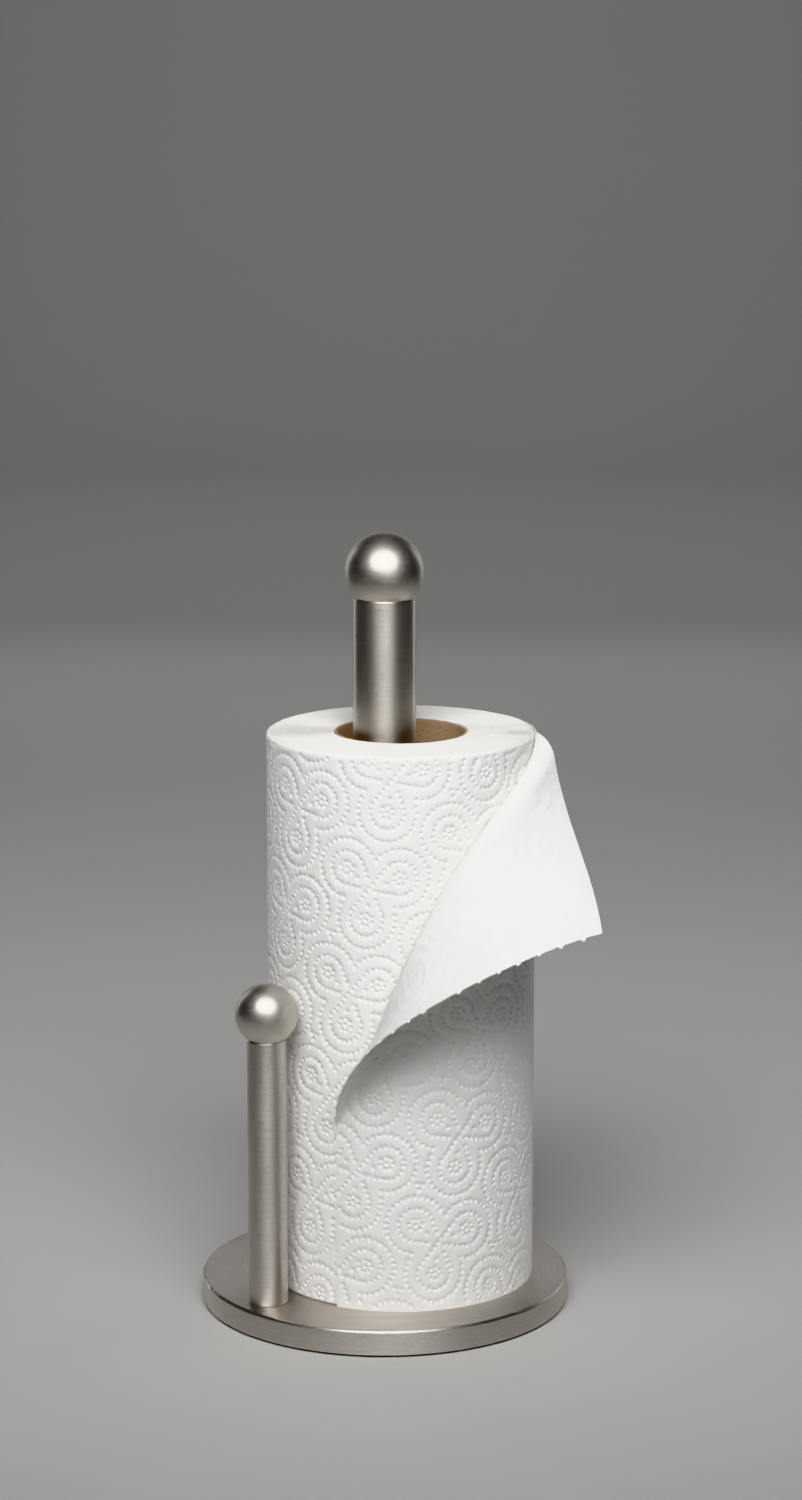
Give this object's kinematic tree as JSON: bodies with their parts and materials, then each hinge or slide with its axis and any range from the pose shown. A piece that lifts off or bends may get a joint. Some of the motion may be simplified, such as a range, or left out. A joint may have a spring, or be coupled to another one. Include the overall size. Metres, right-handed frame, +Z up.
{
  "type": "paper towel holder",
  "caption": "Free-standing kitchen roll holder: heavy round base, upright post with a ball finial, side arm with a smaller ball, and a turning roll with its corner peeled.",
  "frame": {"origin": "middle of the base's underside, on the surface that the holder stands on, under the post's axis", "axes": "+Z up along the post, -Y towards the front, +X to the right of someone facing the front"},
  "size_m": [0.1593, 0.1625, 0.3177],
  "materials": {
    "satin_steel": "satin brushed",
    "cast_iron": "as cast, dark",
    "pad_rubber": "fine grained, matt",
    "zinc_plate": "zinc plated",
    "core_board": "spiral-wound board",
    "wound_paper": "wound embossed kitchen paper",
    "towel_paper": "embossed kitchen paper"
  },
  "bodies": {
    "holder": {"base_shell": "satin_steel", "base_weight": "cast_iron", "base_pad": "pad_rubber", "post_tube": "satin_steel", "post_foot_insert": "zinc_plate", "post_top_insert": "zinc_plate", "post_bolt": "zinc_plate", "post_flat_washer": "zinc_plate", "post_spring_washer": "zinc_plate", "finial_ball": "satin_steel", "finial_stud": "zinc_plate", "arm_tube": "satin_steel", "arm_foot_insert": "zinc_plate", "arm_top_insert": "zinc_plate", "arm_bolt": "zinc_plate", "arm_flat_washer": "zinc_plate", "arm_spring_washer": "zinc_plate", "arm_ball": "satin_steel", "arm_stud": "zinc_plate"},
    "core": {"roll_core": "core_board"},
    "paper": {"paper_winding": "wound_paper", "loose_towel": "towel_paper"}
  },
  "joints": [
    {"name": "roll_lift", "type": "slide", "parent": "holder", "child": "core", "axis": [0, 0, 1], "range_m": [0, 0.32]},
    {"name": "roll_turn", "type": "hinge", "parent": "core", "child": "paper", "pos_m": [0.00651, 0.0016, 0.124], "axis": [0, 0, 1], "continuous": true, "deforming": ["loose_towel"]}
  ]
}
